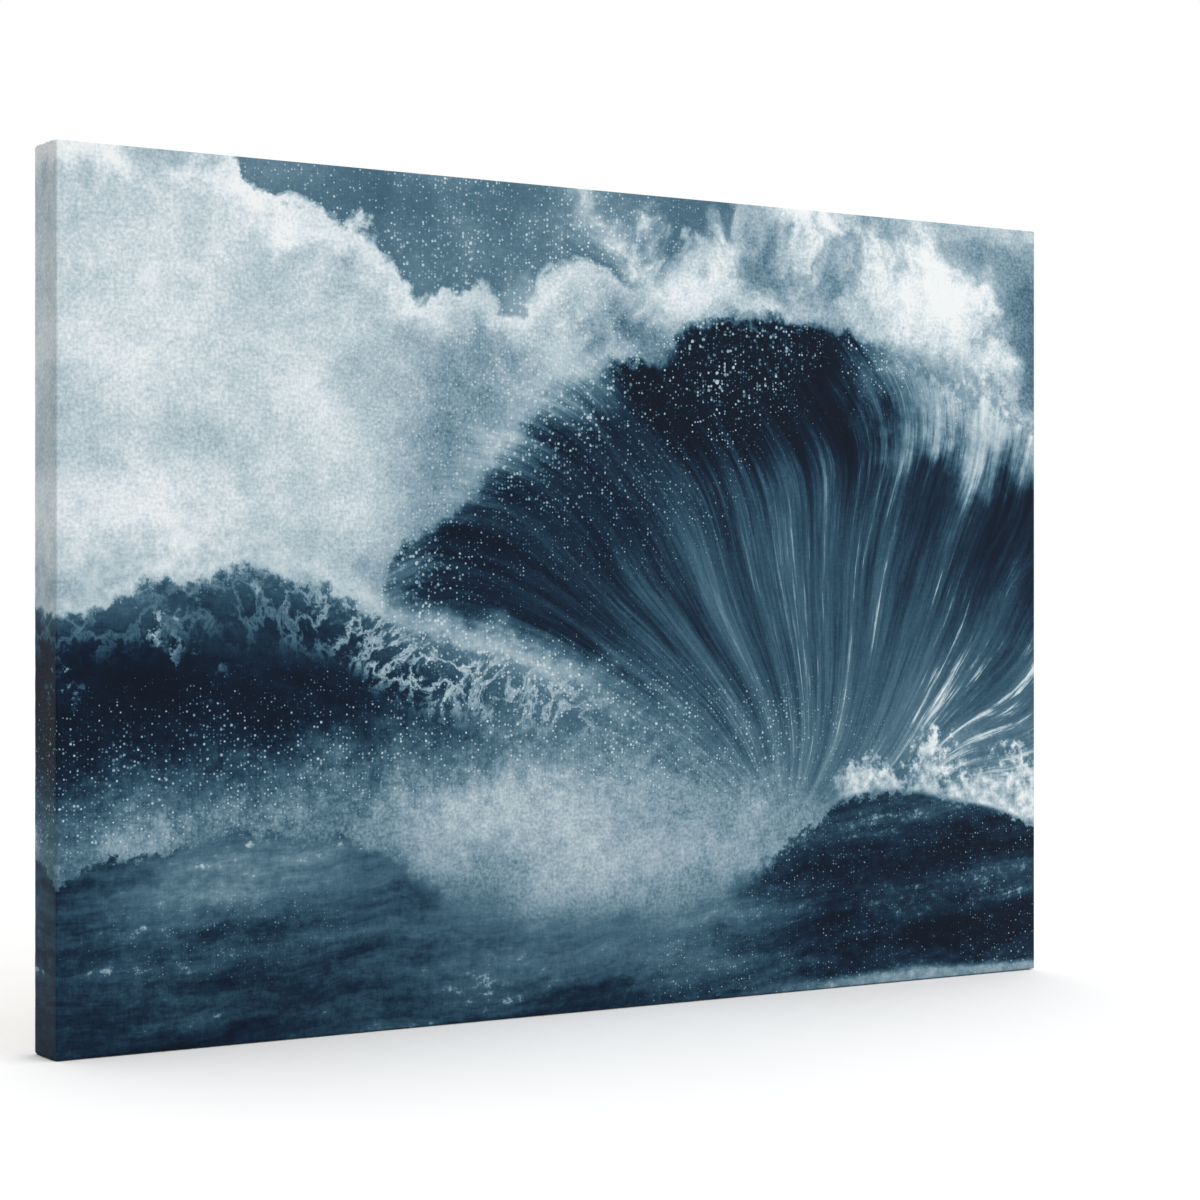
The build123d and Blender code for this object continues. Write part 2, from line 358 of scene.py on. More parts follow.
print(f"a flap puffs up by at most {PUFF * 1000:.1f} mm, and a side by {PULL * 1000:.2f} mm")

# %% [markdown]
# ### Rings
# Each ring of points walks round the canvas at one station of the section, with a few extra points that
# round the upright corners. Neighbouring rings are then joined with faces.

# %% One ring of the cloth after another
AXES = {  # the way along each side, and the way out from it, as (x, z), going round anticlockwise
    "bottom": (Vector((1, 0)), Vector((0, -1)), HALF_X, HALF_Z),
    "right": (Vector((0, 1)), Vector((1, 0)), HALF_Z, HALF_X),
    "top": (Vector((-1, 0)), Vector((0, 1)), HALF_X, HALF_Z),
    "left": (Vector((0, -1)), Vector((-1, 0)), HALF_Z, HALF_X),
}
CELLS_X, CELLS_Z = round(2 * HALF_X / CELL), round(2 * HALF_Z / CELL)
CELLS = {"bottom": CELLS_X, "right": CELLS_Z, "top": CELLS_X, "left": CELLS_Z}
TURNS = 4  # points round each upright corner

walk = []
for side in SIDES:
    walk += [(side, share / CELLS[side], None) for share in range(1, CELLS[side])]
    walk += [(side, 1.0, turn / (TURNS - 1)) for turn in range(TURNS)]

verts, faces, maps = [], [], []


def on_ring(station, stop):
    """A point of one ring, in 3-D."""
    distance, out, y, angle = station
    side, share, turn = stop
    along, outwards, length, reach = AXES[side]
    flap_share = max(0.0, (distance - DEPTH) / FLAP)
    near_corner = 1.0 if turn is not None else 2 * abs(share - 0.5)
    calm = 1 - ease(near_corner, 0.90, 0.97)
    out -= cut_wander(share * length + 7 * SIDES.index(side)) * flap_share * calm
    if turn is None:
        facing = outwards
        place = along * (length + out) * (2 * share - 1) + outwards * (reach + out)
    else:
        facing = outwards * math.cos(turn * math.pi / 2) + along * math.sin(turn * math.pi / 2)
        inset = out - CORNER_RADIUS
        place = along * (length + inset) + outwards * (reach + inset) + facing * CORNER_RADIUS
    z = MIDDLE_Z + place.y
    if flap_share > 0:
        lift = flap_lift(place.x, z, flap_share) * calm
    else:
        lift = side_lift(place.x, z, max(0.0, distance / DEPTH)) * calm
    place = place + facing * lift * math.cos(angle)
    return Vector((place.x, y + lift * math.sin(angle), MIDDLE_Z + place.y))


def on_flat_cloth(side, spot, distance):
    """Where a point of one side lies on the flat cloth, from the face's lower left corner."""
    along, outwards, length, reach = AXES[side]
    travelled = along.dot(Vector((spot.x, spot.z - MIDDLE_Z)))
    flat = along * min(max(travelled, -length), length) + outwards * (reach + distance)
    return (flat.x + HALF_X, flat.y + HALF_Z)


for station in section:
    verts += [on_ring(station, stop) for stop in walk]

for ring in range(len(section) - 1):
    for here in range(len(walk)):
        following = (here + 1) % len(walk)
        side, _, turn = walk[here]
        if turn is not None and turn > 0.5:
            side = SIDES[(SIDES.index(side) + 1) % 4]
        corners = [(ring, here), (ring + 1, here), (ring + 1, following), (ring, following)]
        faces.append([level * len(walk) + stop for level, stop in corners])
        maps.append([
            on_flat_cloth(side, verts[level * len(walk) + stop], section[level][0])
            for level, stop in corners
        ])
print(len(verts), "points round the sides and flaps")

# %% [markdown]
# ### The face
# The cloth bears on a raised bead along each bar and is free inside it, so it lies a hair further back
# there. A plain grid is enough for so flat a surface, joined to the first ring point by point.

# %% The face inside the first ring
SAG = 0.0004
inner_start = len(verts)
for row in range(1, CELLS_Z):
    for column in range(1, CELLS_X):
        across, up = 2 * column / CELLS_X - 1, 2 * row / CELLS_Z - 1
        x, z = across * (HALF_X - FACE_RADIUS), MIDDLE_Z + up * (HALF_Z - FACE_RADIUS)
        free = (1 - across ** 4) * (1 - up ** 4)
        verts.append(Vector((x, FRONT + free * (SAG + 0.0001 * ripple(x, z, 0.12)), z)))

BOTTOM_RUN, RIGHT_RUN = CELLS_X - 1 + TURNS, CELLS_Z - 1 + TURNS


def face_point(column, row):
    """The points at a crossing of the face's grid: one, or at a corner the few that round it."""
    half_way = BOTTOM_RUN + RIGHT_RUN
    starts = {"bottom": 0, "right": BOTTOM_RUN, "top": half_way, "left": half_way + BOTTOM_RUN}
    corner = {(CELLS_X, 0): "right", (CELLS_X, CELLS_Z): "top", (0, CELLS_Z): "left", (0, 0): "bottom"}
    if (column, row) in corner:
        end = starts[corner[column, row]] or len(walk)
        return list(range(end - TURNS, end))
    if row == 0:
        return [column - 1]
    if column == CELLS_X:
        return [starts["right"] + row - 1]
    if row == CELLS_Z:
        return [starts["top"] + CELLS_X - column - 1]
    if column == 0:
        return [starts["left"] + CELLS_Z - row - 1]
    return [inner_start + (row - 1) * (CELLS_X - 1) + column - 1]


for row in range(CELLS_Z):
    for column in range(CELLS_X):
        corners = ((column, row), (column + 1, row), (column + 1, row + 1), (column, row + 1))
        faces.append([index for corner in corners for index in face_point(*corner)])
        maps.append([(verts[i].x + HALF_X, verts[i].z - MIDDLE_Z + HALF_Z) for i in faces[-1]])
print(len(faces), "faces so far")

# %% [markdown]
# ## The folded corners
# The spare cloth at a corner is folded into a flat triangle, as on a gift. It hangs on the upright corner
# edge, lies along the top or bottom, and turns over the back edge with the flap, where it ends in a slanting
# fold under a staple. It could be one sheet with the rest, but a real fold doubles back on itself, which a
# plain grid can't do. So each fold is its own small grid: rows go back along the depth and then down the
# back, and columns go from the corner edge to the slanting crease. Its rims dip just under the main cloth,
# so that the fold looks as if it grew out of it.

# %% The folded corners
FOLD_HIGH = 0.00055  # two more layers of cloth
FOLD_DIP = 0.0002  # how far its rims go under the main cloth
WRAP = 0.0030  # how far it reaches round the corner onto the upright side
FOLD_START = 0.0025
CREASE = 0.0008  # the fold rises over this much at its creases
ROWS, COLUMNS = 44, 18
CORNER_STAPLE = 0.015  # from both outer edges


def fold_point(depth, over, lift):
    """A point of the top right fold: depth back along the side, over from the corner edge, lifted off."""
    arc = CORNER_RADIUS * math.pi / 4
    turn = math.pi / 4 * (1 + min(max(over / arc, -1.0), 1.0))
    beyond = max(0.0, abs(over) - arc)
    x = HALF_X - CORNER_RADIUS + (CORNER_RADIUS + lift) * math.cos(turn) - (beyond if over > 0 else 0.0)
    up = HALF_Z - CORNER_RADIUS + (CORNER_RADIUS + lift) * math.sin(turn) - (beyond if over < 0 else 0.0)
    start, end = DEPTH - BACK_RADIUS, DEPTH + BACK_RADIUS
    if depth <= start:
        return x, FRONT + depth, up
    bend = math.pi / 2 * min((depth - start) / (end - start), 1.0)
    drop = up - (HALF_Z + lift)  # not 0 only on the part that wraps round the corner edge
    y = BACK - BACK_RADIUS + (BACK_RADIUS + lift) * math.sin(bend)
    up = HALF_Z - BACK_RADIUS + (BACK_RADIUS + lift) * math.cos(bend) - max(0.0, depth - end) + drop
    return x, y, up


def fold_grid():
    """Every point of one fold, with where it lies on the flat cloth past the two outer edges."""
    grid = []
    for row in range(ROWS + 1):
        depth = FOLD_START + (DEPTH + FLAP - FOLD_START) * row / ROWS
        behind = ease(depth, DEPTH - 0.006, DEPTH - 0.001)
        first = max(depth - DEPTH, -WRAP * (1 - behind))
        last = depth
        line = []
        for column in range(COLUMNS + 1):
            over = first + (last - first) * (1 - math.cos(math.pi * column / COLUMNS)) / 2
            rise = ease(over - first, 0.0, WRAP + (CREASE - WRAP) * behind)
            rise *= ease(last - over, 0.0, CREASE) * ease(depth, FOLD_START, 3 * FOLD_START)
            across, down = over - CORNER_STAPLE, depth - DEPTH - CORNER_STAPLE
            pressed = math.exp(-((across - down) / 0.008) ** 2 - ((across + down) / 0.006) ** 2)
            puff = 1 + 0.35 * noise.noise(Vector((over / 0.012, depth / 0.012, 9.0)))
            lift = FOLD_HIGH * rise * puff * (1 - pressed) - FOLD_DIP * (1 - rise)
            line.append((fold_point(depth, over, lift), (depth, over)))
        grid.append(line)
    return grid


one_fold = fold_grid()
for across in (-1, 1):
    for upwards in (-1, 1):
        start = len(verts)
        for line in one_fold:
            verts += [Vector((across * x, y, MIDDLE_Z + upwards * up)) for (x, y, up), _ in line]
        for row in range(ROWS):
            for column in range(COLUMNS):
                corners = [(row, column), (row, column + 1), (row + 1, column + 1), (row + 1, column)]
                if across * upwards > 0:
                    corners.reverse()
                faces.append([start + r * (COLUMNS + 1) + c for r, c in corners])
                flat = [one_fold[r][c][1] for r, c in corners]
                maps.append([
                    (HALF_X + across * (HALF_X + depth), HALF_Z + upwards * (HALF_Z + over))
                    for depth, over in flat
                ])
print(len(faces), "faces with the four folds")

# %% [markdown]
# ### One piece
# All the points and faces become one mesh with its flat map. A second, inner surface could be built too, but
# the Solidify modifier makes it with an even thickness, and puts the second finish, bare cotton, on it.

# %% The cloth as one piece
mesh = bpy.data.meshes.new("canvas_cloth")
mesh.from_pydata(verts, [], faces)
flat_map = mesh.uv_layers.new(name="cloth")
for corner, place in zip(flat_map.data, (p for face in maps for p in face)):
    corner.uv = place
mesh.shade_smooth()
cloth = bpy.data.objects.new("canvas_cloth", mesh)
bpy.context.scene.collection.objects.link(cloth)

thick = cloth.modifiers.new("thickness", "SOLIDIFY")
thick.thickness = THICKNESS
thick.offset = -1.0
thick.material_offset = 1  # the inner side is bare cloth, which is the second finish
thick.material_offset_rim = 1

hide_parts("printed_canvas")
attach(cloth, "frame")
print(f"flat cloth {2 * (HALF_X + DEPTH + FLAP):.3f} by {2 * (HALF_Z + DEPTH + FLAP):.3f}")

# %% [markdown]
# ## The print: where we are on the picture
# The picture is a stormy sea in deep blue and white: a big wave on the right, a dark swell on the left, mist
# between them and spray over everything. An image texture would be one way, but this file uses none. The sea
# is painted by formula instead. One number, the tone, says how light the print is, and each layer below is
# laid over the last one with a mask, as a painter works from the sky forwards.
#
# u goes across and v goes up, both in picture heights. Round the edges they run back the way they came, which
# is how such prints are made: the sides show the picture's own rim, mirrored.

# %% Where we are on the picture
printed, start, print_shader = new_finish("printed canvas", Specular_IOR_Level=0.08)
PICTURE_HIGH = 2 * HALF_Z
SHAPE = HALF_X / HALF_Z  # width over height

cloth_map = start.node("ShaderNodeUVMap", {"uv_map": "cloth"})
cloth_place = cloth_map.node("ShaderNodeSeparateXYZ", None, {"Vector": cloth_map})
cloth_x, cloth_y = cloth_place.other("X"), cloth_place.other("Y")
u = (cloth_x / PICTURE_HIGH).math("PINGPONG", SHAPE)
v = (cloth_y / PICTURE_HIGH).math("PINGPONG", 1.0)


def shifted(across, up, moved=0.0, wide=1.0, tall=1.0):
    """A place for a texture, moved so that no two textures look alike, and squeezed if need be."""
    return point(across * wide + moved, up * tall + 0.7 * moved)


def curve(value, points):
    """A height that follows a few listed points from the picture's left edge to its right."""
    share = value / SHAPE
    places = {"points": [(x / SHAPE, y) for x, y in points]}
    return share.node("ShaderNodeFloatCurve", places, {"Value": share})


def glow(centre, size):
    """1 at a centre, falling to 0 over an oval of that half width and half height."""
    across, up = (u - centre[0]) / size[0], (v - centre[1]) / size[1]
    return smooth(1 - (across * across + up * up), 0.0, 1.0)


print(f"the picture is {SHAPE:.2f} times as wide as it is high")

# %% [markdown]
# ### Disorder
# The layers share a few noises, so their edges wander together, as in one storm. Each layer could have its
# own, but sharing also keeps the shader light.

# %% Disorder that every layer shares
wander = grain(shifted(u, v), 4.0, 9.0, 0.58)
wander_up = grain(shifted(u, v, 7.3), 4.5, 9.0, 0.58)
loose_u, loose_v = u + wander * 0.12, v + wander_up * 0.12
fine = grain(shifted(u, v, 3.1), 60.0, 5.0, 0.7)
soft = grain(shifted(u, v, 1.7), 3.0, 5.0, 0.5)
bend = grain(shifted(u, v, 9.7), 1.7, 1.5, 0.4)
billow = grain(shifted(loose_u, loose_v, 5.0), 7.0, 8.0, 0.60)
jag = grain(shifted(u, v, 8.0), 12.0, 9.0, 0.60)
torn = fine * 0.05
dust = grain(shifted(u, v, 6.1), 240.0, 3.0, 0.6)
print(len(printed.node_tree.nodes), "nodes with the shared disorder")

# %% [markdown]
# ### Sky and mist
# Pale mist fills the upper left, brightest where the sun stands behind it, under the torn foot of a rain
# cloud. It is the furthest layer, so it starts the tone.

# %% Sky and mist
sky = 0.57 + soft * 0.50 + billow * 0.58 + fine * 0.18 + dust * 0.34
sky += glow((0.10, 0.78), (0.50, 0.36)) * 0.26
cloud_foot = 1.03 - glow((0.58, 1.0), (0.46, 0.9)) * 0.16
over_cloud = loose_v + billow * 0.24 - cloud_foot
lit_rim = smooth(over_cloud, -0.08, 0.0) * 0.20
tone = blend(sky + lit_rim, 0.40 + soft * 0.2 + billow * 0.3, smooth(over_cloud, 0.0, 0.02))
spray = glow((0.55, 0.80), (0.62, 0.42)) * 1.1
print(len(printed.node_tree.nodes), "nodes with the sky")

# %% [markdown]
# ### The big wave
# It stands on the right and arches over its own trough. Its face is drawn with streaks that fan out from a
# point in the trough. In polar terms a streak is a noise that changes fast with the angle and slowly with
# the reach.

# %% The big wave
TROUGH = (0.98, 0.20)
across, up = u - TROUGH[0], v - TROUGH[1]
reach = (across * across + up * up) ** 0.5
angle = up.math("ARCTAN2", across) - reach * 1.1 + bend * 0.8
streak = grain(shifted(angle, reach, 0.5, 6.5, 1.6), 1.0, 9.0, 0.74)
hair = grain(shifted(angle, reach, 4.0, 44.0, 5.0), 1.0, 6.0, 0.72)
water = 0.13 + streak * 0.62 + hair * (0.34 + soft * 0.6)
water += glow((1.0, 0.44), (0.34, 0.30)) * 0.14 - glow((0.90, 0.80), (0.5, 0.16)) * 0.12
water += smooth(0.52 - v + (u - 1.15) * 0.5, 0.0, 0.35) * 0.26
strands = smooth(streak * 0.7 + hair * 1.1 + soft * 0.4, 0.10, 0.24) * smooth(v, 0.80, 0.44)
water += strands * smooth(u, 0.82, 1.15) * 0.42

top_edge = curve(loose_u, [
    (0, 0.28), (0.26, 0.34), (0.40, 0.50), (0.54, 0.66), (0.70, 0.775), (0.88, 0.84), (1.06, 0.85),
    (1.22, 0.81), (1.40, 0.73),
])
past_top = v + wander_up * 0.09 - top_edge - billow * 0.14
inside = smooth(torn - past_top, -0.012, 0.016)
tone = blend(tone, water, inside)
print(len(printed.node_tree.nodes), "nodes with the big wave")

# %% [markdown]
# ### The mane, the falling foam and the feathered shoulder
# Foam rides on the crest as a ragged mane that thins out into the sky, and on the right it has begun to fall
# down the face. The shoulder is feathered along the flow, so it borrows the streaks of the face.

# %% Mane, falling foam and shoulder
mane = smooth(past_top + torn, -0.004, 0.02) * smooth(past_top - billow * 0.6 - soft * 0.2, 0.17, 0.02)
mane *= smooth(u, 0.50, 0.80)
foam = 0.84 + billow * 1.4 + soft * 0.3 + fine * 0.26 + dust * 0.36 - smooth(past_top, 0.06, -0.01) * 0.16
tone = blend(tone, foam, mane * 0.96)
falling = smooth(past_top + streak * 0.30 + jag * 0.20, -0.16, 0.0) * inside * smooth(loose_u, 1.0, 1.25)
tone = blend(tone, 0.80 + billow * 0.9 + hair * 0.6 + fine * 0.4, falling * 0.9)
spray += smooth(past_top, -0.17, 0.0) * inside * smooth(billow + soft, -0.12, 0.16)

shoulder_line = curve(u, [
    (0, 0.30), (0.26, 0.36), (0.40, 0.51), (0.54, 0.67), (0.70, 0.785), (0.88, 0.84), (1.4, 0.80),
])
shoulder = smooth(0.09 - abs(v - shoulder_line) + streak * 0.22, 0.0, 0.14)
shoulder *= smooth(u, 0.20, 0.36) * smooth(u, 0.86, 0.62)
tone = blend(tone, 0.66 + hair * 0.55 + streak * 0.35 + billow * 0.5 + fine * 0.15, shoulder * 0.85)
spray += shoulder * 0.5
print(len(printed.node_tree.nodes), "nodes with the mane")

# %% [markdown]
# ### The dark swell
# A lower swell runs in on the left, almost black under its crest. A web of foam hangs on the ridge, made from
# the thin lines where a noise crosses zero, and a bright rim of spray blows off it.

# %% The dark swell
crest = curve(u + jag * 0.06, [
    (0, 0.49), (0.10, 0.53), (0.20, 0.545), (0.32, 0.51), (0.46, 0.455), (0.62, 0.42), (0.80, 0.36),
    (1.4, 0.1),
])
below = crest - v + jag * 0.09 + wander_up * 0.06
dark = smooth(below + torn, -0.003, 0.016) * smooth(u, 0.80, 0.62)
swell = grain(shifted(u - v * 0.4, v + u * 0.25, 2.0, 3.0, 12.0), 1.0, 8.0, 0.68)
ridge = smooth(below, 0.14, 0.01)
web = smooth(abs(grain(shifted(loose_u, loose_v, 2.5), 17.0, 8.0, 0.66)), 0.07, 0.0)
web *= smooth(ridge + jag * 1.2, 0.15, 0.75) * (0.35 + smooth(u, 0.20, 0.42) * 0.65)
chips = smooth(jag + fine * 0.9, 0.14, 0.22) * smooth(below, 0.02, 0.05) * smooth(v, 0.36, 0.44)
deep = 0.055 + swell * 0.34 + fine * 0.08 + smooth(u, 0.40, 0.75) * 0.22 + ridge * (0.13 + jag * 0.3)
deep = blend(deep, 0.76 + fine * 0.6, web * 0.85)
deep = blend(deep, 0.80 + fine * 0.6, chips * smooth(soft + billow, -0.08, 0.08) * 0.9)
tone = blend(tone, deep, dark)

rim = smooth(abs(below), 0.055, 0.0) * smooth(u, 0.80, 0.62)
tone = blend(tone, 0.84 + fine * 0.7 + billow * 0.4, rim * (1 - dark * 0.75) * 0.7)
spray = spray * (1 - dark) + rim * 0.7
print(len(printed.node_tree.nodes), "nodes with the dark swell")

# %% [markdown]
# ### Drifting mist
# A band of mist lies in the trough and hides the foot of both waves. Its upper edge is all droplets.

# %% Drifting mist
drift = curve(u, [(0, 0.25), (0.30, 0.29), (0.60, 0.30), (0.95, 0.27), (1.2, 0.25), (1.4, 0.23)])
haze = smooth(drift + 0.12 + soft * 0.16 + billow * 0.12 + fine * 0.05 - v, 0.0, 0.20)
mist = 0.53 + billow * 0.55 + fine * 0.36 + dust * 0.40 + glow((0.66, 0.24), (0.34, 0.12)) * 0.16
tone = blend(tone, mist, haze * 0.92)
upper_mist = smooth(v - drift, -0.12, 0.02) * smooth(v - drift, 0.21, 0.07)
spray += upper_mist * smooth(u, 1.30, 1.0) * 0.95
print(len(printed.node_tree.nodes), "nodes with the mist")

# %% [markdown]
# ### The water in front
# Long flat ripples, catching light in the middle and dark on the right, with a splash where they meet the big
# wave and a thin white foot.

# %% The water in front
front = curve(u, [
    (0, 0.185), (0.18, 0.235), (0.36, 0.225), (0.58, 0.165), (0.80, 0.15), (0.98, 0.19), (1.10, 0.25),
    (1.24, 0.24), (1.40, 0.20),
])
softness = 0.008 + smooth(u, 0.34, 0.56) * smooth(u, 1.00, 0.84) * 0.07
near = smooth(front - v + jag * 0.06 + torn, 0.0, softness)
ripples = grain(shifted(u + wander * 0.16, v - u * 0.08 + wander_up * 0.05, 9.0, 3.2, 17.0), 1.0, 9.0, 0.70)
sea = 0.19 + ripples * 0.72 + soft * 0.16 + fine * 0.22
sea += glow((0.24, 0.18), (0.26, 0.06)) * 0.20 + glow((0.68, 0.12), (0.42, 0.11)) * 0.16
sea -= glow((1.22, 0.12), (0.40, 0.14)) * 0.08
sea += smooth(ripples + fine * 0.8, 0.18, 0.30) * 0.26
tone = blend(tone, sea, near)

splash = smooth(v - front, -0.006, 0.004) * smooth(0.305 + (jag + billow) * 0.16 + torn * 2 - v, 0.0, 0.03)
splash *= smooth(u - 1.06 + jag * 0.14, 0.0, 0.04)
tone = blend(tone, 0.80 + fine * 1.2 + billow * 0.7, splash * 0.92)
foot = smooth(0.021 + ripples * 0.03 - v, 0.0, 0.014) * smooth(u, 0.84, 1.2)
tone = blend(tone, 0.66 + fine * 0.6, foot * 0.8)
spray = spray * (1 - near) + glow((0.2, 0.12), (0.3, 0.10)) * 0.5 + near * smooth(u, 0.5, 0.9) * 0.6
print(len(printed.node_tree.nodes), "nodes with the water in front")

# %% [markdown]
# ### Droplets
# Spray is thousands of round specks of every size. A Voronoi texture gives one speck in each cell, and the
# chance that comes with the cell sets its size: most are tiny. They swell where the spray is thick.

# %% Droplets
def droplets(place, scale, size, rarity):
    """Specks with so many cells to a picture height. The higher the rarity, the fewer are large."""
    flat = {"voronoi_dimensions": "2D"}
    cells = place.node("ShaderNodeTexVoronoi", flat, {"Vector": place, "Scale": scale})
    chance = cells.node("ShaderNodeSeparateColor", None, {"Color": cells.other("Color")})
    faint = 0.15 + chance.other("Green") * 0.85
    return smooth(chance ** rarity * spray * size - cells, 0.0, 0.3 * size) * faint


spray = smooth(spray * (0.80 + billow * 1.0), -0.3, 1.4) * 0.95
specks = most(droplets(shifted(u, v), 40.0, 0.16, 12.0), droplets(shifted(u, v, 2.2), 110.0, 0.32, 7.5))
specks = most(specks, droplets(shifted(u, v, 4.2), 240.0, 0.78, 2.2))
tone = blend(tone, 0.88 + soft * 0.5, specks * 0.85)
print(len(printed.node_tree.nodes), "nodes make the whole tone")

# %% [markdown]
# ## Canvas and ink
# The weave is plain: each thread goes over one and under the next. It could be modelled thread by thread, but
# half a million crossings are better left to a bump. Two rows of ridges stand for the threads, and the
# product of two sines, which changes sign from crossing to crossing, says which one is on top. Real yarn is
# uneven, so the threads wander a little and swell here and there into slubs.

# %% The weave
THREAD = 0.0005  # from one thread to the next
YARNS = 700  # to the metre, for the noise that makes one yarn thicker than the next
PRINTED_SLUBS, BARE_SLUBS = 180, 55  # primer fills the long slubs


def weave(across, up, slubs):
    """Height of plain-woven cloth from 0 to about 1, and its lumps. slubs is how many to a metre of yarn."""
    lumps = grain(point(across * slubs, up * YARNS), 1.0, 3.0, 0.6)
    lumps += grain(point(across * YARNS + 5, up * slubs), 1.0, 3.0, 0.6)
    drift = grain(point(across, up), 90.0, 2.0, 0.5) * 0.9
    warp = ((across / THREAD + drift) * math.pi).math("SINE")
    weft = ((up / THREAD - drift) * math.pi).math("SINE")
    crossing = warp * weft * 0.4
    return most(abs(warp) * (0.6 + crossing), abs(weft) * (0.6 - crossing)) + lumps * 0.5, lumps


threads, lumps = weave(cloth_x, cloth_y, PRINTED_SLUBS)
print(f"{1 / THREAD:.0f} threads to the metre")

# %% [markdown]
# ### Ink
# A ramp turns the tone into ink, from near black through blue greys to white. Painted shade of the weave
# darkens the ink in the hollows between threads. Past the print's edge the cloth is bare white primer.

# %% Ink and primer
INK_LIGHT = 0.78  # the print under a bright lamp shows its colours at full strength
PALETTE = (
    (0.0, "010f20"), (0.07, "031529"), (0.16, "0e2a3f"), (0.27, "2b4d61"), (0.40, "4b6d7f"),
    (0.52, "7592a1"), (0.64, "97adb8"), (0.78, "bacad1"), (0.90, "dae3e7"), (1.0, "eef1f1"),
)
BLEED = 0.004  # the print runs this far onto the back
FRAY = 0.0003  # softness of the print's own edge
PRINT_BUMP, BARE_BUMP = 0.00012, 0.00018  # height of the weave, where primer fills it and where it doesn't

inks = [(at, colour(code, INK_LIGHT)) for at, code in PALETTE]
# Painted shade of the weave: the ink is darker in the hollows between threads and lighter where the weave
# stands high.
ink_and_weave_shade = ramp(tone + lumps * 0.06 + threads * 0.05 - 0.025, inks)
past_edge = most(abs(cloth_x - HALF_X) - HALF_X, abs(cloth_y - HALF_Z) - HALF_Z)
bare = smooth(past_edge + fine * 0.0006, DEPTH + BLEED - FRAY, DEPTH + BLEED + FRAY)
# Painted shade of the weave: the primer is darker in the hollows between threads and lighter where the weave
# stands high.
primer_and_weave_shade = ramp(threads + lumps, [(0.0, colour("cfccc2")), (0.8, colour("e6e4dc"))])
feed(print_shader, "Base Color", mix_colours(ink_and_weave_shade, primer_and_weave_shade, bare))
feed(print_shader, "Roughness", 0.58 + lumps * 0.2 + tone * 0.08)
raise_surface(print_shader, threads, PRINT_BUMP)
print(len(inks), "inks, and primer from", f"{(DEPTH + BLEED) * 1000:.0f} mm past the edge")

# %% [markdown]
# ## Bare cloth
# Behind, the cotton is unprimed: warmer and softer, with the odd brown fleck of seed husk and a lazy
# unevenness where the primer has soaked through. Painted shade makes it darker between its threads.

# %% Bare cloth
raw, start, raw_shader = new_finish("bare cloth", Specular_IOR_Level=0.2, Roughness=0.9, Sheen_Weight=0.15)
raw_map = start.node("ShaderNodeUVMap", {"uv_map": "cloth"})
raw_place = raw_map.node("ShaderNodeSeparateXYZ", None, {"Vector": raw_map})
raw_x, raw_y = raw_place.other("X"), raw_place.other("Y")
raw_threads, raw_lumps = weave(raw_x, raw_y, BARE_SLUBS)
soaked = grain(point(raw_x, raw_y), 9.0, 4.0, 0.6)
husk = smooth(grain(point(raw_x, raw_y), 900.0, 1.0, 0.5), 0.27, 0.30)
# Painted shade of the weave: darker in the hollows between threads and lighter where the weave stands high.
# The soaked patches are the cotton's own.
cotton_and_weave_shade = ramp(
    0.5 + raw_lumps * 0.6 + raw_threads * 0.3 + soaked * 0.4,
    [(0.1, colour("a89c84")), (0.5, colour("cfc5b0")), (0.9, colour("e2dccb"))],
)
feed(raw_shader, "Base Color", mix_colours(cotton_and_weave_shade, colour("7a6244"), husk * 0.7))
raise_surface(raw_shader, raw_threads, BARE_BUMP)

cloth.data.materials.append(printed)
cloth.data.materials.append(raw)
print("the cloth's finishes:", ", ".join(finish.name for finish in cloth.data.materials))

# %% [markdown]
# ## Wood
# A board is cut from a tree of nested cones, so its grain is found in the same way: the distance from a line,
# the pith, that runs past the board, bent by slow noise and counted off in yearly rings. Each ring is pale
# spring wood that darkens towards its outer side. Knots push the rings aside. Fibres are noise drawn out
# along the board. One function makes every board, and each gets its own pith, so that no two are alike.

# %% Wood
KNOT_LONG, KNOT_WIDE = 0.016, 0.009  # half sizes of a knot and the grain that it bends
KNOT_PUSH = 0.0075  # how far it moves the rings aside
PLANER_MARK = 0.0032  # from one cut of the planer to the next
WOOD_BUMP = 0.00016


